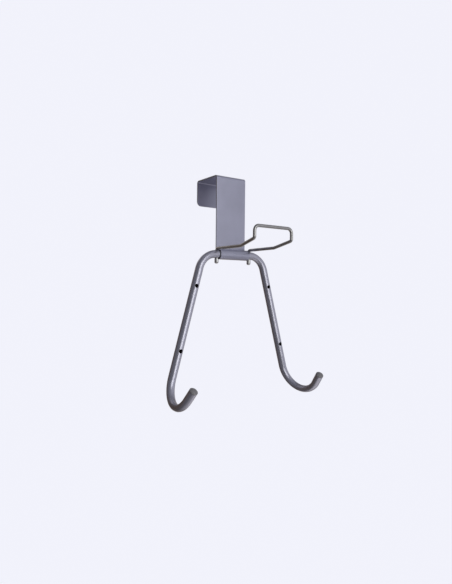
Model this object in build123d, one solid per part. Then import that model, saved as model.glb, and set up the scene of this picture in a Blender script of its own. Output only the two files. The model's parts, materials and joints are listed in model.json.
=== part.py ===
from build123d import *
import math
import os

# Hanging holder for an ironing board: a folded steel strap, a bent steel tube with two hooks, and a
# wire loop that stands out above them.
# Millimetres and degrees. +Z is up, -Y points out of the front, +X is to the right seen from the front.
# The origin is the middle of the underside of the strap's top run, which the whole holder hangs from.

# Strap, one strip of sheet steel folded twice and rolled into an eye
SLOT_WIDTH = 45.0
STRAP_WIDTH = 45.0
STRAP_SHEET = 1.5
FOLD_RADIUS = 2.0
BACK_RUN = 32.0
BACK_CORNER = 6.0
BAR_DROP = 99.5
EYE_CLEARANCE = 0.1
EYE_SEAM = 0.3

# Hook frame, one length of round tube that is squeezed a little oval in its bends
TUBE_OD = 10.0
TUBE_WALL = 1.0
BEND_SETBACK = 1.0
SHOULDER_RADIUS = 25.0
SHOULDER_SQUEEZE = 0.8
LEG_SPLAY = 15.4
LEG_LENGTH = 135.4
HOOK_RADIUS = 30.0
HOOK_SQUEEZE = 1.8
HOOK_TURN = 142.2
HOOK_TOE_OUT = 6.1
TIP_LENGTH = 14.7
BEND_STEPS = 4
SCREW_HOLE = 5.0
SCREW_FROM_SHOULDER = 22.7
SCREW_FROM_HOOK = 32.0

# Wire loop, one length of round wire whose two ends pass down through the bar
WIRE = 3.8
WIRE_HOLE_CLEARANCE = 0.25
WIRE_SEAT = 0.2
ROOT_BEND = 1.0
ARM_LENGTH = 51.0
KICK_RUN = 28.6
KICK_RISE = 6.6
LOOP_FLARE = 2.4
UPRIGHT = 14.2
ARM_BEND = 5.0
FOOT_BEND = 2.8
LOOP_BEND = 6.0

# Caps on the wire's two ends, under the bar and beside the eye
CAP_WALL = 0.65
CAP_EYE_GAP = 0.15
CAP_FIT = 0.05
CAP_SEAT = 0.2
CAP_DEPTH = 4.7
CAP_END = 0.7
CAP_DOME = 1.4

# Plugs in the two hook tips
PLUG_RIM = 0.8
PLUG_DOME = 1.8
PLUG_STEM = 9.0
PLUG_FIT = 0.1

# Where the bar lies, set by the strap and the eye that is rolled round it
tube_radius = TUBE_OD / 2
eye_inside = tube_radius + EYE_CLEARANCE
eye_outside = eye_inside + STRAP_SHEET
bar_y = -(SLOT_WIDTH / 2 + eye_outside)
bar_z = -BAR_DROP

# Where the wire's two ends cross the bar, with room for their caps beside the eye
wire_radius = WIRE / 2
cap_radius = wire_radius + CAP_WALL
wire_x = STRAP_WIDTH / 2 + CAP_EYE_GAP + cap_radius
arm_z = bar_z + tube_radius + WIRE_SEAT + wire_radius
cap_z = bar_z - tube_radius - CAP_SEAT
tail_z = cap_z - CAP_DEPTH


def domed_pin(radius, length, dome):
    """Round pin that stands on the origin along +Z, with a shallow dome on its far end."""
    dome_radius = (radius**2 + dome**2) / (2 * dome)
    side = Polyline((0, length + dome), (0, 0), (radius, 0), (radius, length))
    crown = RadiusArc((radius, length), (0, length + dome), -dome_radius)
    return revolve(Plane.XZ * make_face(side + crown), Axis.Z)


def make_strap():
    """Back run, top run and front run in one fold line, with the lower end rolled round the bar."""
    middle = SLOT_WIDTH / 2 + STRAP_SHEET / 2
    top = STRAP_SHEET / 2
    seam_angle = math.degrees(math.acos((eye_outside - STRAP_SHEET - EYE_SEAM) / eye_outside))
    folds = FilletPolyline(
        (middle, -BACK_RUN),
        (middle, top),
        (-middle, top),
        (-middle, bar_z),
        radius=FOLD_RADIUS + STRAP_SHEET / 2,
    )
    eye = JernArc(folds @ 1, folds % 1, eye_inside + STRAP_SHEET / 2, seam_angle - 360)
    fold_line = Plane.YZ * Wire(folds.edges() + eye.edges())
    section = Plane(fold_line @ 0, x_dir=(1, 0, 0), z_dir=fold_line % 0) * Rectangle(STRAP_WIDTH, STRAP_SHEET)
    strap = sweep(section, path=fold_line)
    back_corners = strap.edges().filter_by(Axis.Y).group_by(Axis.Z)[0]
    return fillet(back_corners, BACK_CORNER)


def frame_line():
    """Centre line of the right half of the frame: bar, shoulder, leg, hook and tip."""
    bar = Line((0, bar_y, bar_z), (wire_x + BEND_SETBACK, bar_y, bar_z))
    front = Plane(bar @ 1, x_dir=(1, 0, 0), z_dir=(0, -1, 0))
    shoulder = front * JernArc((0, 0), (1, 0), SHOULDER_RADIUS, LEG_SPLAY - 90)
    leg = Line(shoulder @ 1, shoulder @ 1 + (shoulder % 1) * LEG_LENGTH)
    outward = Vector(0, -1, 0).rotate(Axis(leg @ 1, leg % 1), -HOOK_TOE_OUT)
    hook_plane = Plane(leg @ 1, x_dir=leg % 1, z_dir=(leg % 1).cross(outward))
    hook = hook_plane * JernArc((0, 0), (1, 0), HOOK_RADIUS, HOOK_TURN)
    tip = Line(hook @ 1, hook @ 1 + (hook % 1) * TIP_LENGTH)
    return bar, shoulder, leg, hook, tip


def bent_rod(line, radius, squeeze):
    """Round rod along an arc. Bending makes it oval: half way round it is thinner by the squeeze."""
    side = (line % 0).cross(line % 1)
    sections = [Circle(radius)]
    for step in range(1, BEND_STEPS):
        thinner = squeeze * math.sin(math.pi * step / BEND_STEPS)
        sections.append(Ellipse(radius, radius - thinner / 2))
    sections.append(Circle(radius))
    places = [step / BEND_STEPS for step in range(BEND_STEPS + 1)]
    planes = [Plane(line @ place, x_dir=side, z_dir=line % place) for place in places]
    return sweep([plane * section for plane, section in zip(planes, sections)], path=line, multisection=True)


def half_frame(radius):
    """Right half of the frame as a solid rod: the tube's outside, or its bore."""
    bar, shoulder, leg, hook, tip = frame_line()
    runs = [sweep(Plane(run @ 0, z_dir=run % 0) * Circle(radius), path=run) for run in (bar, leg, tip)]
    bends = [bent_rod(shoulder, radius, SHOULDER_SQUEEZE), bent_rod(hook, radius, HOOK_SQUEEZE)]
    return Part() + runs + bends


def make_frame():
    """Bent tube, drilled through each leg for two screws and through the bar for the wire's ends."""
    leg = frame_line()[2]
    half = half_frame(tube_radius) - half_frame(tube_radius - TUBE_WALL)
    for along in (SCREW_FROM_SHOULDER, LEG_LENGTH - SCREW_FROM_HOOK):
        spot = leg @ (along / LEG_LENGTH)
        half -= Plane(spot, z_dir=(0, 1, 0)) * Cylinder(SCREW_HOLE / 2, 2 * TUBE_OD)
    wire_hole = Cylinder(wire_radius + WIRE_HOLE_CLEARANCE, 2 * TUBE_OD)
    half -= Pos(wire_x, bar_y, bar_z) * wire_hole
    return half + mirror(half, about=Plane.YZ)


def make_wire():
    """Level arms, a kick up, short uprights and a crossbar, bent from one wire."""
    kink_y = bar_y - ARM_LENGTH
    loop_y = kink_y - KICK_RUN
    loop_x = wire_x + LOOP_FLARE
    right = [
        Vector(wire_x, bar_y, tail_z),
        Vector(wire_x, bar_y, arm_z),
        Vector(wire_x, kink_y, arm_z),
        Vector(loop_x, loop_y, arm_z + KICK_RISE),
        Vector(loop_x, loop_y, arm_z + KICK_RISE + UPRIGHT),
    ]
    left = [Vector(-point.X, point.Y, point.Z) for point in reversed(right)]
    half_bends = [wire_radius + ROOT_BEND, ARM_BEND, FOOT_BEND, LOOP_BEND]
    line = FilletPolyline(*right, *left, radius=half_bends + half_bends[::-1])
    return sweep(Plane(line @ 0, z_dir=line % 0) * Circle(wire_radius), path=line)


def make_cap():
    """Blind cap pushed up the right end of the wire until it meets the underside of the bar."""
    bore_depth = CAP_DEPTH + CAP_FIT
    pin = domed_pin(cap_radius, bore_depth + CAP_END, CAP_DOME)
    bore = Cylinder(wire_radius + CAP_FIT, bore_depth, align=(Align.CENTER, Align.CENTER, Align.MIN))
    seat = Plane((wire_x, bar_y, cap_z), z_dir=(0, 0, -1))
    return seat * (pin - bore)


def make_plug():
    """Domed head on the right hook's end, with a stem pressed into the tube."""
    tip = frame_line()[-1]
    stem_radius = tube_radius - TUBE_WALL - PLUG_FIT
    stem = Cylinder(stem_radius, PLUG_STEM, align=(Align.CENTER, Align.CENTER, Align.MAX))
    return Plane(tip @ 1, z_dir=tip % 1) * (domed_pin(tube_radius, PLUG_RIM, PLUG_DOME) + stem)


cap = make_cap()
plug = make_plug()
nodes = {
    "strap": make_strap(),
    "hook_frame": make_frame(),
    "wire_loop": make_wire(),
    "right_wire_cap": cap,
    "left_wire_cap": mirror(cap, about=Plane.YZ),
    "right_tip_plug": plug,
    "left_tip_plug": mirror(plug, about=Plane.YZ),
}

os.makedirs("parts", exist_ok=True)
for name, shape in nodes.items():
    export_step(shape, f"parts/{name}.step")
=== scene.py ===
import json
import math

import bmesh
import bpy
from mathutils import Matrix, Vector


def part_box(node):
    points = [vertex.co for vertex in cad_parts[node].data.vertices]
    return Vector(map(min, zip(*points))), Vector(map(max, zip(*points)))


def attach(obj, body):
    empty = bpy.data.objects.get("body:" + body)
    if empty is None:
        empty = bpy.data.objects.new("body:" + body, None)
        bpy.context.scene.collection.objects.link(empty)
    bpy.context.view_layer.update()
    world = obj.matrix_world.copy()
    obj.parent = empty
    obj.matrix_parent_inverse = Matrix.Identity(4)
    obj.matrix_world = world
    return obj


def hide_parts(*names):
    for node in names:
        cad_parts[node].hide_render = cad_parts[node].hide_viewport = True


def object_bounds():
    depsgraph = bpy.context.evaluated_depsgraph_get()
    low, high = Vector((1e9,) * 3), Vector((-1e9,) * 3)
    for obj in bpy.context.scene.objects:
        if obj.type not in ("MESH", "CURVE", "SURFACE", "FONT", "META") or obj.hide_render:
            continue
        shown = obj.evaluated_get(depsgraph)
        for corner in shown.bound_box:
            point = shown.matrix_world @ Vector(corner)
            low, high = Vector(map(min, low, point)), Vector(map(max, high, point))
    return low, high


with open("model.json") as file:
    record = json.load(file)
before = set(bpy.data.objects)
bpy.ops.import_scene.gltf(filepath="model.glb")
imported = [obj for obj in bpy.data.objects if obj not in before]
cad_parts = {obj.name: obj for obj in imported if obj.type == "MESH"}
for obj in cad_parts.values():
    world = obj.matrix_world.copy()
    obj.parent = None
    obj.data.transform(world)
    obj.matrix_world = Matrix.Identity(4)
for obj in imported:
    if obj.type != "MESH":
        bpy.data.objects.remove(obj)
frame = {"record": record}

cad_low, cad_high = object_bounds()

# Strap
# One strip of steel sheet, folded twice so that it hangs over an edge, with its lower end rolled into an
# eye round the bar: behind it, under it, up its front and back over the top. Satin silver-grey powder coat.
STRAP_SHEET = 0.0015
FOLD_INSIDE = 0.002
FOLD_STEPS = 10
BACK_RUN = 0.032
BACK_CORNER = 0.006
CORNER_STEPS = 10
SHEET_EDGE_ROUND = 0.00025
EDGE_STEPS = 3
TUBE_RADIUS = 0.005
EYE_CLEARANCE = 0.0001
EYE_SEAM = 0.0003
EYE_STEPS = 72
WELD = 1e-7
HAIR = 1e-6
SHARP = math.radians(40)
# Painted shade: the strap's coat is a darker copy of the tube's, to tone down the soft box's sheen on it.
SHADED_SHEET_GREY = (0.437, 0.442, 0.555)
# Painted shade for the strap's two sheared edges.
EDGE_SHADE_GREY = (0.13, 0.128, 0.135)
# Every finish drifts with noises, each given by its scale and its detail, and every relief by its strength
# and its depth.
NOISE_LOW = 0.3
NOISE_HIGH = 0.7
COAT_METAL = 0.8
COAT_DRIFT = 0.06
COAT_PATCHES = (30, 4)
COAT_GRAIN = (2500, 2)
COAT_ROUGHNESS = (0.3, 0.4)
COAT_PEEL = (1600, 2)
PEEL_RELIEF = (0.1, 0.0001)
GLAZE_WEIGHT = 0.1
GLAZE_ROUGHNESS = 0.2
strap_low, strap_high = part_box("strap")
slot_half = strap_high.y - STRAP_SHEET
eye_outside = TUBE_RADIUS + EYE_CLEARANCE + STRAP_SHEET
bar = Vector((0, -slot_half - eye_outside, strap_low.z + eye_outside))
across = Vector((1, 0, 0))


def draw_on(bm, edges, move):
    """Extrude the leading edges of a strip or a tube straight ahead, and return the new leading edges."""
    grown = bmesh.ops.extrude_edge_only(bm, edges=edges)["geom"]
    moved = {part for part in grown if isinstance(part, bmesh.types.BMVert)}
    bmesh.ops.translate(bm, verts=list(moved), vec=move)
    new_edges = [part for part in grown if isinstance(part, bmesh.types.BMEdge)]
    return [edge for edge in new_edges if moved.issuperset(edge.verts)]


def ends_of(edges):
    """Vertices of the edges, each one once and in the same order each run."""
    return list(dict.fromkeys(vert for edge in edges for vert in edge.verts))


def bend_on(bm, edges, centre, axis, angle, steps):
    """Carry the leading edges round a bend, right-handed about its axis, and return the new ones."""
    spun = bmesh.ops.spin(bm, geom=ends_of(edges) + edges, cent=centre, axis=axis, angle=angle, steps=steps)
    return [part for part in spun["geom_last"] if isinstance(part, bmesh.types.BMEdge)]


def round_edges(bm, radius):
    """Soften every sharp edge of a finished shape."""
    sharp = [edge for edge in bm.edges if edge.calc_face_angle(0) > SHARP]
    bmesh.ops.bevel(bm, geom=sharp, offset=radius, segments=EDGE_STEPS, profile=0.5,
                    affect="EDGES", material=-1)


def blank_finish(name):
    """New node material, with its nodes, its links, its shader and the piece's own coordinates."""
    material = bpy.data.materials.new(name)
    material.use_nodes = True
    nodes = material.node_tree.nodes
    own_place = nodes.new("ShaderNodeTexCoord").outputs["Object"]
    return material, nodes, material.node_tree.links, nodes["Principled BSDF"], own_place


def speckle(nodes, links, own_place, scale, detail):
    """Noise on the piece's own coordinates."""
    noise = nodes.new("ShaderNodeTexNoise")
    noise.inputs["Scale"].default_value = scale
    noise.inputs["Detail"].default_value = detail
    links.new(own_place, noise.inputs["Vector"])
    return noise.outputs["Fac"]


def shade_between(nodes, links, amount, dark, light, socket):
    """Colour that drifts between two shades as the amount does."""
    ramp = nodes.new("ShaderNodeValToRGB")
    ramp.color_ramp.elements[0].position = NOISE_LOW
    ramp.color_ramp.elements[0].color = (*dark, 1)
    ramp.color_ramp.elements[1].position = NOISE_HIGH
    ramp.color_ramp.elements[1].color = (*light, 1)
    links.new(amount, ramp.inputs["Fac"])
    links.new(ramp.outputs["Color"], socket)


def vary(nodes, links, amount, low, high, socket):
    """Number that drifts between two values as the amount does."""
    spread = nodes.new("ShaderNodeMapRange")
    spread.inputs["From Min"].default_value = NOISE_LOW
    spread.inputs["From Max"].default_value = NOISE_HIGH
    spread.inputs["To Min"].default_value = low
    spread.inputs["To Max"].default_value = high
    links.new(amount, spread.inputs["Value"])
    links.new(spread.outputs["Result"], socket)


def emboss(nodes, links, amount, strength, depth, socket):
    """Fine relief in the surface."""
    bump = nodes.new("ShaderNodeBump")
    bump.inputs["Strength"].default_value = strength
    bump.inputs["Distance"].default_value = depth
    links.new(amount, bump.inputs["Height"])
    links.new(bump.outputs["Normal"], socket)


def powder_coat(name, grey):
    """Satin silver-grey coat: a little colour drift, a fine metallic grain and a faint orange peel."""
    material, nodes, links, shader, own_place = blank_finish(name)
    shader.inputs["Metallic"].default_value = COAT_METAL
    shader.inputs["Coat Weight"].default_value = GLAZE_WEIGHT
    shader.inputs["Coat Roughness"].default_value = GLAZE_ROUGHNESS
    dark = [(1 - COAT_DRIFT) * channel for channel in grey]
    light = [(1 + COAT_DRIFT) * channel for channel in grey]
    patches = speckle(nodes, links, own_place, *COAT_PATCHES)
    shade_between(nodes, links, patches, dark, light, shader.inputs["Base Color"])
    grain = speckle(nodes, links, own_place, *COAT_GRAIN)
    vary(nodes, links, grain, *COAT_ROUGHNESS, shader.inputs["Roughness"])
    peel = speckle(nodes, links, own_place, *COAT_PEEL)
    emboss(nodes, links, peel, *PEEL_RELIEF, shader.inputs["Normal"])
    return material


def paint_shade_on_sheared_edges(material, half_width):
    """Painted shade: the two sheared edges of the strip are painted much darker than its faces, as they
    look in shadow.
    """
    nodes = material.node_tree.nodes
    links = material.node_tree.links
    own_place = nodes.new("ShaderNodeTexCoord").outputs["Object"]
    split = nodes.new("ShaderNodeSeparateXYZ")
    links.new(own_place, split.inputs["Vector"])
    from_middle = nodes.new("ShaderNodeMath")
    from_middle.operation = "ABSOLUTE"
    links.new(split.outputs["X"], from_middle.inputs[0])
    shade_at_edge = nodes.new("ShaderNodeMapRange")
    shade_at_edge.inputs["From Min"].default_value = half_width - SHEET_EDGE_ROUND
    shade_at_edge.inputs["From Max"].default_value = half_width - SHEET_EDGE_ROUND / 4
    links.new(from_middle.outputs["Value"], shade_at_edge.inputs["Value"])
    edge_shade_mix = nodes.new("ShaderNodeMix")
    edge_shade_mix.data_type = "RGBA"
    colour = nodes["Principled BSDF"].inputs["Base Color"]
    links.new(shade_at_edge.outputs["Result"], edge_shade_mix.inputs["Factor"])
    links.new(colour.links[0].from_socket, edge_shade_mix.inputs["A"])
    edge_shade_mix.inputs["B"].default_value = (*EDGE_SHADE_GREY, 1)
    links.new(edge_shade_mix.outputs["Result"], colour)


def place_piece(bm, name, material, node):
    """Make the finished shape a smooth piece that stands for a node of the frame."""
    mesh = bpy.data.meshes.new(name)
    bm.to_mesh(mesh)
    bm.free()
    mesh.shade_smooth()
    mesh.set_sharp_from_angle(angle=SHARP)
    mesh.materials.append(material)
    piece = bpy.data.objects.new(name, mesh)
    bpy.context.scene.collection.objects.link(piece)
    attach(piece, "root")
    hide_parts(node)
    return piece


bm = bmesh.new()
inside = bm.verts.new((strap_low.x, slot_half, -BACK_RUN))
outside = bm.verts.new((strap_low.x, strap_high.y, -BACK_RUN))
strip_end = [bm.edges.new((inside, outside))]
strip_end = draw_on(bm, strip_end, (0, 0, BACK_RUN - FOLD_INSIDE))
fold_centre = Vector((0, slot_half - FOLD_INSIDE, -FOLD_INSIDE))
strip_end = bend_on(bm, strip_end, fold_centre, across, math.pi / 2, FOLD_STEPS)
strip_end = draw_on(bm, strip_end, (0, -2 * fold_centre.y, 0))
fold_centre.y = -fold_centre.y
strip_end = bend_on(bm, strip_end, fold_centre, across, math.pi / 2, FOLD_STEPS)
strip_end = draw_on(bm, strip_end, (0, 0, bar.z + FOLD_INSIDE))
seam_angle = math.acos((eye_outside - STRAP_SHEET - EYE_SEAM) / eye_outside)
bend_on(bm, strip_end, bar, across, seam_angle - 2 * math.pi, EYE_STEPS)
widened = bmesh.ops.extrude_face_region(bm, geom=bm.faces[:], use_keep_orig=True)["geom"]
far_side = [part for part in widened if isinstance(part, bmesh.types.BMVert)]
bmesh.ops.translate(bm, verts=far_side, vec=(strap_high.x - strap_low.x, 0, 0))
bmesh.ops.remove_doubles(bm, verts=bm.verts[:], dist=WELD)
bmesh.ops.recalc_face_normals(bm, faces=bm.faces[:])
corner_edges = [
    edge for edge in bm.edges
    if abs(edge.verts[0].co.y - edge.verts[1].co.y) > STRAP_SHEET - HAIR
    and max(vert.co.z for vert in edge.verts) < HAIR - BACK_RUN
    and min(vert.co.y for vert in edge.verts) > 0
]
bmesh.ops.bevel(bm, geom=corner_edges, offset=BACK_CORNER, segments=CORNER_STEPS, profile=0.5,
                affect="EDGES", material=-1)
round_edges(bm, SHEET_EDGE_ROUND)
# Painted shade: the strap takes the darker copy of the coat.
strap_coat = powder_coat("strap_coat", SHADED_SHEET_GREY)
# Painted shade: the sheared edges get a much darker colour than the faces.
paint_shade_on_sheared_edges(strap_coat, strap_high.x)
strap = place_piece(bm, "folded_strap", strap_coat, "strap")
strap.modifiers.new("flat runs stay flat", "WEIGHTED_NORMAL").keep_sharp = True

# Hook frame
# One length of round steel tube: a bar through the strap's eye, a bend at each shoulder, two splayed legs
# and two hooks that toe out, squeezed a little oval by the bending. Each leg is drilled for two screws, and
# the bar for the wire. Same coat as the strap, a little lighter, as the strap's copy is painted darker as
# shade.
TUBE_WALL = 0.001
TUBE_SIDES = 64
BEND_SETBACK = 0.001
SHOULDER_RADIUS = 0.025
SHOULDER_SQUEEZE = 0.0008
SHOULDER_STEPS = 28
LEG_LENGTH = 0.1354
HOOK_RADIUS = 0.030
HOOK_SQUEEZE = 0.0018
HOOK_STEPS = 56
HOOK_TURN = math.radians(142.2)
HOOK_TOE_OUT = math.radians(6.1)
TIP_LENGTH = 0.0147
HOLE_RING = 0.003
HOLE_SIDES = 32
DRILL_LENGTH = 0.015
WIRE_RADIUS = 0.0019
WIRE_HOLE_CLEARANCE = 0.00025
MM_PER_M = 1000
TUBE_GREY = (0.505, 0.505, 0.595)
# The bore's tones are painted near black, as shade inside the tube and its drilled holes.
BORE_SHADE_DARK = (0.018, 0.016, 0.015)
BORE_SHADE_LIGHT = (0.035, 0.03, 0.028)
BORE_PATCHES = (300, 3)
BORE_GRAIN = (800, 2)
BORE_ROUGHNESS = (0.6, 0.8)
front = Vector((0, -1, 0))
cap_low, cap_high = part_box("right_wire_cap")
wire_x = (cap_low.x + cap_high.x) / 2
mounts = {mount["name"]: mount for mount in frame["record"]["mounts"]}
screw_spots = [
    Vector((mounts[name]["dims"]["spacing_x_mm"] / 2 / MM_PER_M, bar.y, mounts[name]["pos_m"][2]))
    for name in ("upper_screws", "lower_screws")
]
screw_radius = mounts["upper_screws"]["dims"]["hole_r_mm"] / MM_PER_M
leg_way = (screw_spots[1] - screw_spots[0]).normalized()
shoulder_turn = across.angle(leg_way)
shoulder_start = bar + (wire_x + BEND_SETBACK) * across
shoulder_centre = shoulder_start - Vector((0, 0, SHOULDER_RADIUS))
leg_top = shoulder_centre + SHOULDER_RADIUS * front.cross(leg_way)
leg_end = leg_top + LEG_LENGTH * leg_way
hook_out = Matrix.Rotation(-HOOK_TOE_OUT, 3, leg_way) @ front
hook_axis = leg_way.cross(hook_out)
hook_centre = leg_end + HOOK_RADIUS * hook_out
hook_bend = Matrix.Rotation(HOOK_TURN, 3, hook_axis)
tip_way = hook_bend @ leg_way
tip_end = hook_centre + hook_bend @ (leg_end - hook_centre) + TIP_LENGTH * tip_way


def stand_along(place, way):
    """Placing that stands a shape on the given place, with its Z axis along the given way."""
    return Matrix.Translation(place) @ way.to_track_quat("Z", "Y").to_matrix().to_4x4()


def tube_ring(bm, radius, sides, centre, along):
    """Ring of edges square to the line that it is going to follow."""
    ring = bmesh.ops.create_circle(bm, segments=sides, radius=radius, matrix=stand_along(centre, along))
    return list(dict.fromkeys(edge for vert in ring["verts"] for edge in vert.link_edges))


def squeeze_on(bm, edges, centre, axis, angle, steps, squeeze):
    """Carry a ring round a bend that leaves the tube oval: half way round it is thinner by the squeeze."""
    rings = [edges]
    for _ in range(steps):
        rings.append(bend_on(bm, rings[-1], centre, axis, angle / steps, steps=1))
    for step, ring in enumerate(rings):
        verts = ends_of(ring)
        middle = sum((vert.co for vert in verts), Vector()) / len(verts)
        outward = (middle - centre).normalized()
        into_ring = Matrix((outward, axis, outward.cross(axis))).to_4x4() @ Matrix.Translation(-middle)
        thinner = squeeze * math.sin(math.pi * step / steps)
        bmesh.ops.scale(bm, vec=(1 - thinner / (2 * TUBE_RADIUS), 1, 1), space=into_ring, verts=verts)
    return rings[-1]


def bend_half_frame(bm):
    """Outer skin of the tube's right half from the middle of the bar, with rings by the screw holes."""
    ring = tube_ring(bm, TUBE_RADIUS, TUBE_SIDES, bar, across)
    ring = draw_on(bm, ring, shoulder_start - bar)
    ring = squeeze_on(bm, ring, shoulder_centre, -front, shoulder_turn, SHOULDER_STEPS,
                      SHOULDER_SQUEEZE)
    stops = [spot + step * leg_way for spot in screw_spots for step in (-HOLE_RING, 0, HOLE_RING)]
    place = leg_top
    for stop in stops + [leg_end]:
        ring = draw_on(bm, ring, stop - place)
        place = stop
    ring = squeeze_on(bm, ring, hook_centre, hook_axis, HOOK_TURN, HOOK_STEPS, HOOK_SQUEEZE)
    draw_on(bm, ring, TIP_LENGTH * tip_way)


def shaded_bare_bore(name):
    """Inside of the tube, which no powder reaches: bare mill scale, painted down to near black as shade
    inside the bore and its holes.
    """
    material, nodes, links, shader, own_place = blank_finish(name)
    patches = speckle(nodes, links, own_place, *BORE_PATCHES)
    shade_between(nodes, links, patches, BORE_SHADE_DARK, BORE_SHADE_LIGHT, shader.inputs["Base Color"])
    grain = speckle(nodes, links, own_place, *BORE_GRAIN)
    vary(nodes, links, grain, *BORE_ROUGHNESS, shader.inputs["Roughness"])
    return material


def drill(piece, holes):
    """Cut round holes, each given by its centre, its way through and its radius, and clean the mesh."""
    bits = bmesh.new()
    for centre, way, radius in holes:
        bmesh.ops.create_cone(bits, cap_ends=True, segments=HOLE_SIDES, radius1=radius, radius2=radius,
                              depth=DRILL_LENGTH, matrix=stand_along(centre, way))
    bit_mesh = bpy.data.meshes.new("drill_bits")
    bits.to_mesh(bit_mesh)
    bits.free()
    bit = bpy.data.objects.new("drill_bits", bit_mesh)
    bpy.context.scene.collection.objects.link(bit)
    cut = piece.modifiers.new("holes", "BOOLEAN")
    cut.object = bit
    cut.solver = "EXACT"
    bpy.context.view_layer.update()
    drilled = bpy.data.meshes.new_from_object(piece.evaluated_get(bpy.context.evaluated_depsgraph_get()))
    piece.modifiers.clear()
    piece.data = drilled
    bpy.data.objects.remove(bit)
    swarf = bmesh.new()
    swarf.from_mesh(drilled)
    bmesh.ops.remove_doubles(swarf, verts=swarf.verts[:], dist=HAIR)
    bmesh.ops.dissolve_degenerate(swarf, edges=swarf.edges[:], dist=HAIR)
    swarf.to_mesh(drilled)
    swarf.free()


bm = bmesh.new()
bend_half_frame(bm)
bmesh.ops.mirror(bm, geom=bm.verts[:] + bm.edges[:] + bm.faces[:], axis="X", merge_dist=HAIR)
bmesh.ops.recalc_face_normals(bm, faces=bm.faces[:])
tube_coat = powder_coat("tube_coat", TUBE_GREY)
tube = place_piece(bm, "bent_tube", tube_coat, "hook_frame")
wall = tube.modifiers.new("wall", "SOLIDIFY")
wall.thickness = TUBE_WALL
# Painted shade: the inner wall gets the near-black bore finish.
tube.data.materials.append(shaded_bare_bore("tube_bore_shade"))
wall.material_offset = 1
other_side = Matrix.Scale(-1, 3, across)
screw_holes = [(spot, front, screw_radius) for spot in screw_spots]
screw_holes += [(other_side @ spot, front, screw_radius) for spot in screw_spots]
wire_hole_radius = WIRE_RADIUS + WIRE_HOLE_CLEARANCE
wire_holes = [(bar + side * wire_x * across, Vector((0, 0, 1)), wire_hole_radius) for side in (-1, 1)]
drill(tube, screw_holes + wire_holes)
tube.data.set_sharp_from_angle(angle=SHARP)

# Wire loop
# One length of round steel wire, bent cold and bright plated. Its ends drop through the bar just past the
# eye; the arms run level, kick up and turn into two short uprights and a crossbar.
WIRE_SIDES = 32
WIRE_BEND_STEPS = 14
WIRE_SEAT = 0.0002
WIRE_TAIL = 0.0047
ROOT_BEND = 0.001
ARM_LENGTH = 0.051
KICK_RISE = 0.0066
ARM_BEND = 0.005
FOOT_BEND = 0.0028
LOOP_BEND = 0.006
PLATE_DARK = (0.42, 0.413, 0.408)
PLATE_LIGHT = (0.49, 0.483, 0.478)
PLATE_PATCHES = (90, 3)
PLATE_HAZE = (420, 2)
PLATE_ROUGHNESS = (0.26, 0.34)
PLATE_GRAIN = (1500, 2)
PLATE_RELIEF = (0.02, 0.0001)
wire_low, wire_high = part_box("wire_loop")


def follow(bm, ring, corners, radii):
    """Carry a ring along straight runs and round the bends between them, and return the last ring."""
    place = corners[0]
    for corner, after, radius in zip(corners[1:], corners[2:], radii):
        ahead = (corner - place).normalized()
        onward = (after - corner).normalized()
        turn = ahead.angle(onward)
        setback = radius * math.tan(turn / 2)
        axis = ahead.cross(onward).normalized()
        bend_start = corner - setback * ahead
        ring = draw_on(bm, ring, bend_start - place)
        ring = bend_on(bm, ring, bend_start + radius * axis.cross(ahead), axis, turn, WIRE_BEND_STEPS)
        place = corner + setback * onward
    return draw_on(bm, ring, corners[-1] - place)


def bright_plating(name, dark, light):
    """Thin bright plating over steel: soft patches of tone, a slightly uneven gloss and a faint grain."""
    material, nodes, links, shader, own_place = blank_finish(name)
    shader.inputs["Metallic"].default_value = 1
    patches = speckle(nodes, links, own_place, *PLATE_PATCHES)
    shade_between(nodes, links, patches, dark, light, shader.inputs["Base Color"])
    haze = speckle(nodes, links, own_place, *PLATE_HAZE)
    vary(nodes, links, haze, *PLATE_ROUGHNESS, shader.inputs["Roughness"])
    grain = speckle(nodes, links, own_place, *PLATE_GRAIN)
    emboss(nodes, links, grain, *PLATE_RELIEF, shader.inputs["Normal"])
    return material


arm_z = bar.z + TUBE_RADIUS + WIRE_SEAT + WIRE_RADIUS
tail_z = cap_high.z - WIRE_TAIL
loop_x = wire_high.x - WIRE_RADIUS
loop_y = wire_low.y + WIRE_RADIUS
right_half = [
    Vector((wire_x, bar.y, tail_z)),
    Vector((wire_x, bar.y, arm_z)),
    Vector((wire_x, bar.y - ARM_LENGTH, arm_z)),
    Vector((loop_x, loop_y, arm_z + KICK_RISE)),
    Vector((loop_x, loop_y, wire_high.z - WIRE_RADIUS)),
]
left_half = [other_side @ corner for corner in reversed(right_half)]
half_bends = [WIRE_RADIUS + ROOT_BEND, ARM_BEND, FOOT_BEND, LOOP_BEND]
bm = bmesh.new()
first_ring = tube_ring(bm, WIRE_RADIUS, WIRE_SIDES, right_half[0], Vector((0, 0, 1)))
last_ring = follow(bm, first_ring, right_half + left_half, half_bends + half_bends[::-1])
for ring in (first_ring, last_ring):
    bmesh.ops.edgeloop_fill(bm, edges=ring)
bmesh.ops.recalc_face_normals(bm, faces=bm.faces[:])
wire_plating = bright_plating("wire_plating", PLATE_DARK, PLATE_LIGHT)
place_piece(bm, "bent_wire", wire_plating, "wire_loop")

# Wire caps
# Two small blind caps, turned from steel and bright plated. Each is pushed up one end of the wire until it
# meets the underside of the bar.
CAP_DOME = 0.0014
CAP_ROUND = 0.0002
CAP_FIT = 0.00005
CAP_PLATE_DARK = (0.5, 0.5, 0.5)
CAP_PLATE_LIGHT = (0.64, 0.64, 0.64)
TURN_STEPS = 48
DOME_STEPS = 12


def spin_profile(bm):
    """Turn the half profile that lies in the bmesh once round the Z axis, and close its poles."""
    bmesh.ops.spin(bm, geom=bm.verts[:] + bm.edges[:], cent=(0, 0, 0), axis=(0, 0, 1), angle=2 * math.pi,
                   steps=TURN_STEPS, use_merge=True)
    bmesh.ops.remove_doubles(bm, verts=bm.verts[:], dist=WELD)
    bmesh.ops.recalc_face_normals(bm, faces=bm.faces[:])


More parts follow.
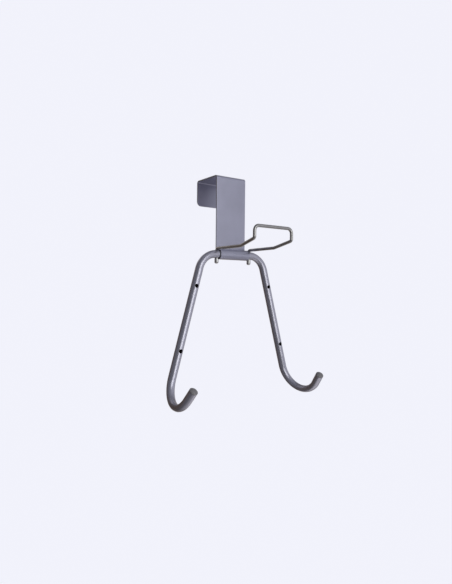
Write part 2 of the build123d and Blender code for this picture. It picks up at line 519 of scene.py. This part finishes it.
def domed_profile(bm, radius, dome, top_z, corners):
    """Half profile of a turned pin: from the middle of its domed end down through the corners."""
    dome_radius = (radius**2 + dome**2) / (2 * dome)
    middle = bm.verts.new((0, 0, top_z))
    arc = bmesh.ops.spin(bm, geom=[middle], cent=(0, 0, top_z - dome_radius), axis=(0, 1, 0),
                         angle=math.asin(radius / dome_radius), steps=DOME_STEPS)
    last = next(part for part in arc["geom_last"] if isinstance(part, bmesh.types.BMVert))
    for corner in corners:
        corner_vert = bm.verts.new((corner[0], 0, corner[1]))
        bm.edges.new((last, corner_vert))
        last = corner_vert


cap_radius = (cap_high.x - cap_low.x) / 2
cap_length = cap_high.z - cap_low.z
bore_radius = WIRE_RADIUS + CAP_FIT
bore_end = WIRE_TAIL + CAP_FIT
cap_corners = [(cap_radius, 0), (bore_radius, 0), (bore_radius, bore_end), (0, bore_end)]
cap_plating = bright_plating("cap_plating", CAP_PLATE_DARK, CAP_PLATE_LIGHT)
for side, hand in ((-1, "left"), (1, "right")):
    bm = bmesh.new()
    domed_profile(bm, cap_radius, CAP_DOME, cap_length, cap_corners)
    spin_profile(bm)
    round_edges(bm, CAP_ROUND)
    seat = Matrix.Translation((side * wire_x, bar.y, cap_high.z)) @ Matrix.Rotation(math.pi, 4, "X")
    bmesh.ops.transform(bm, matrix=seat, verts=bm.verts[:])
    place_piece(bm, f"{hand}_cap", cap_plating, f"{hand}_wire_cap")

# Tip plugs
# Two moulded plugs in dark grey plastic that close the hooks' ends: a domed head the width of the tube on a
# stem pressed into it.
PLUG_RIM = 0.0008
PLUG_DOME = 0.0018
PLUG_STEM = 0.009
PLUG_FIT = 0.0001
PLUG_ROUND = 0.0002
PLUG_DARK = (0.2, 0.194, 0.206)
PLUG_LIGHT = (0.27, 0.264, 0.276)
PLUG_PATCHES = (600, 4)
PLUG_HAZE = (900, 2)
PLUG_ROUGHNESS = (0.42, 0.56)
PLUG_GRAIN = (2200, 2)
PLUG_RELIEF = (0.4, 0.0001)


def moulded_plastic(name):
    """Dark matt plastic with the fine grain of an etched mould."""
    material, nodes, links, shader, own_place = blank_finish(name)
    patches = speckle(nodes, links, own_place, *PLUG_PATCHES)
    shade_between(nodes, links, patches, PLUG_DARK, PLUG_LIGHT, shader.inputs["Base Color"])
    haze = speckle(nodes, links, own_place, *PLUG_HAZE)
    vary(nodes, links, haze, *PLUG_ROUGHNESS, shader.inputs["Roughness"])
    grain = speckle(nodes, links, own_place, *PLUG_GRAIN)
    emboss(nodes, links, grain, *PLUG_RELIEF, shader.inputs["Normal"])
    return material


stem_radius = TUBE_RADIUS - TUBE_WALL - PLUG_FIT
plug_corners = [(TUBE_RADIUS, 0), (stem_radius, 0), (stem_radius, -PLUG_STEM), (0, -PLUG_STEM)]
plug_plastic = moulded_plastic("plug_plastic")
for side, hand in ((-1, "left"), (1, "right")):
    bm = bmesh.new()
    domed_profile(bm, TUBE_RADIUS, PLUG_DOME, PLUG_RIM + PLUG_DOME, plug_corners)
    spin_profile(bm)
    round_edges(bm, PLUG_ROUND)
    bmesh.ops.transform(bm, matrix=stand_along(tip_end, tip_way), verts=bm.verts[:])
    bmesh.ops.scale(bm, vec=(side, 1, 1), verts=bm.verts[:])
    bmesh.ops.recalc_face_normals(bm, faces=bm.faces[:])
    place_piece(bm, f"{hand}_plug", plug_plastic, f"{hand}_tip_plug")

# Floor
# A wide pale sweep well below the hooks, with its rim curved up all round. It glows by itself, lights
# nothing and takes no shadow, so the holder hangs in an even, pale space.
FLOOR_DROP = 0.36
FLOOR_RADIUS = 1.7
SWEEP_RADIUS = 0.9
SWEEP_HEIGHT = 3.0
SWEEP_STEPS = 16
FLOOR_PALE = (0.01, 0.01, 0.011, 1)
FLOOR_GLOW = (0.882, 0.888, 0.965, 1)
floor_z = cad_low.z - FLOOR_DROP
bm = bmesh.new()
middle = bm.verts.new((0, 0, floor_z))
rim = bm.verts.new((FLOOR_RADIUS, 0, floor_z))
bm.edges.new((middle, rim))
sweep = bmesh.ops.spin(bm, geom=[rim], cent=(FLOOR_RADIUS, 0, floor_z + SWEEP_RADIUS), axis=(0, -1, 0),
                       angle=math.pi / 2, steps=SWEEP_STEPS)
upright = next(part for part in sweep["geom_last"] if isinstance(part, bmesh.types.BMVert))
bm.edges.new((upright, bm.verts.new(upright.co + Vector((0, 0, SWEEP_HEIGHT)))))
spin_profile(bm)
mesh = bpy.data.meshes.new("floor")
bm.to_mesh(mesh)
bm.free()
mesh.shade_smooth()
floor = bpy.data.objects.new("floor", mesh)
bpy.context.scene.collection.objects.link(floor)
pale = bpy.data.materials.new("pale_floor")
pale.use_nodes = True
pale_shader = pale.node_tree.nodes["Principled BSDF"]
pale_shader.inputs["Base Color"].default_value = FLOOR_PALE
pale_shader.inputs["Roughness"].default_value = 1
pale_shader.inputs["Specular IOR Level"].default_value = 0
pale_shader.inputs["Emission Color"].default_value = FLOOR_GLOW
pale_shader.inputs["Emission Strength"].default_value = 1
mesh.materials.append(pale)
floor.visible_diffuse = False
floor.visible_glossy = False
floor.visible_shadow = False

# Light
# A wide soft box in front of the holder and two small cards, close behind the wire and below the hooks. The
# dark surround is pale straight below. It glows at the right, behind and faintly overhead, and is warm at
# the back and cool at the left. Each glow is given by its bearing, its rise and its tones.
SURROUND = ((0.0, (0.42, 0.4, 0.405)), (0.05, (0.23, 0.215, 0.215)), (0.12, (0.04, 0.031, 0.025)),
            (0.5, (0.033, 0.027, 0.022)), (1.0, (0.1, 0.098, 0.108)))
GLOWS = (
    (62, -2, ((0.58, (0, 0, 0)), (0.82, (0.24, 0.243, 0.265)), (1.0, (0.55, 0.555, 0.605)))),
    (145, -15, ((0.84, (0, 0, 0)), (1.0, (0.45, 0.405, 0.36)))),
    (215, 0, ((0.75, (0, 0, 0)), (0.93, (0.03, 0.014, 0.001)), (1.0, (0.05, 0.022, 0.001)))),
    (285, 0, ((0.5, (0, 0, 0)), (1.0, (0.09, 0.099, 0.121)))),
    (15, 68, ((0.84, (0, 0, 0)), (1.0, (0.2, 0.2, 0.22)))),
)
world = bpy.data.worlds.new("surround")
bpy.context.scene.world = world
world.use_nodes = True
nodes = world.node_tree.nodes
links = world.node_tree.links
direction = nodes.new("ShaderNodeTexCoord").outputs["Generated"]


def add_tones(way, stops):
    """Background with its tones set from straight opposite the given way, 0, to straight along it, 1."""
    along = nodes.new("ShaderNodeVectorMath")
    along.operation = "DOT_PRODUCT"
    along.inputs[1].default_value = way
    links.new(direction, along.inputs[0])
    level = nodes.new("ShaderNodeMapRange")
    level.inputs["From Min"].default_value = -1
    links.new(along.outputs["Value"], level.inputs["Value"])
    tones = nodes.new("ShaderNodeValToRGB")
    while len(tones.color_ramp.elements) < len(stops):
        tones.color_ramp.elements.new(1)
    for element, (position, tone) in zip(tones.color_ramp.elements, stops):
        element.position = position
        element.color = (*tone, 1)
    links.new(level.outputs["Result"], tones.inputs["Fac"])
    background = nodes.new("ShaderNodeBackground")
    links.new(tones.outputs["Color"], background.inputs["Color"])
    return background.outputs["Background"]


def way_to(bearing, rise):
    """Direction by its bearing, in degrees from straight in front to the right, and its rise."""
    turned = Matrix.Rotation(math.radians(bearing), 3, "Z")
    return turned @ Matrix.Rotation(math.radians(-rise), 3, "X") @ front


surround = add_tones((0, 0, 1), SURROUND)
for bearing, rise, tones in GLOWS:
    total = nodes.new("ShaderNodeAddShader")
    links.new(surround, total.inputs[0])
    links.new(add_tones(way_to(bearing, rise), tones), total.inputs[1])
    surround = total.outputs["Shader"]
links.new(surround, nodes["World Output"].inputs["Surface"])


def soft_box(name, bearing, height, distance, width, tall, watts, tint):
    """Soft box aimed at the holder, its bearing counted in degrees from straight in front to the right."""
    light = bpy.data.lights.new(name, "AREA")
    light.shape = "RECTANGLE"
    light.size = width
    light.size_y = tall
    light.energy = watts
    light.color = tint
    lamp = bpy.data.objects.new(name, light)
    bpy.context.scene.collection.objects.link(lamp)
    middle = (cad_low + cad_high) / 2
    angle = math.radians(bearing)
    lamp.location = middle + Vector((distance * math.sin(angle), -distance * math.cos(angle), height))
    lamp.rotation_euler = (middle - lamp.location).to_track_quat("-Z", "Y").to_euler()


soft_box("front_box", bearing=2, height=0.09, distance=1.2, width=0.8, tall=1.3, watts=6.0,
         tint=(1, 1, 0.97))
soft_box("wire_card", bearing=180, height=0.13, distance=0.19, width=0.3, tall=0.22, watts=0.08,
         tint=(1, 0.95, 0.93))
soft_box("hook_card", bearing=63, height=-0.36, distance=0.13, width=0.22, tall=0.28, watts=0.08,
         tint=(1, 0.95, 0.95))

# Camera
# Stands to the left of the holder, at the height of the upper part of the legs, and looks at it nearly
# level. Its turn, tilt, roll and lens were fitted to the edges of the real piece.
CAMERA_PLACE = (-0.35821, -0.53033, -0.14306)
CAMERA_YAW = math.radians(34.77)
CAMERA_PITCH = math.radians(-0.37)
CAMERA_ROLL = math.radians(0.57)
FOCAL_PIXELS = 480.1
IMAGE_LONG_SIDE = 584
NEAR_CLIP = 0.01
camera = bpy.data.cameras.new("camera")
camera.lens = FOCAL_PIXELS * camera.sensor_width / IMAGE_LONG_SIDE
camera.clip_start = NEAR_CLIP
stand = bpy.data.objects.new("camera", camera)
bpy.context.scene.collection.objects.link(stand)
aim = Matrix.Rotation(-CAMERA_YAW, 4, "Z") @ Matrix.Rotation(math.pi / 2 + CAMERA_PITCH, 4, "X")
stand.matrix_world = Matrix.Translation(CAMERA_PLACE) @ aim @ Matrix.Rotation(CAMERA_ROLL, 4, "Z")
bpy.context.scene.camera = stand
bpy.context.scene.view_settings.view_transform = "Standard"
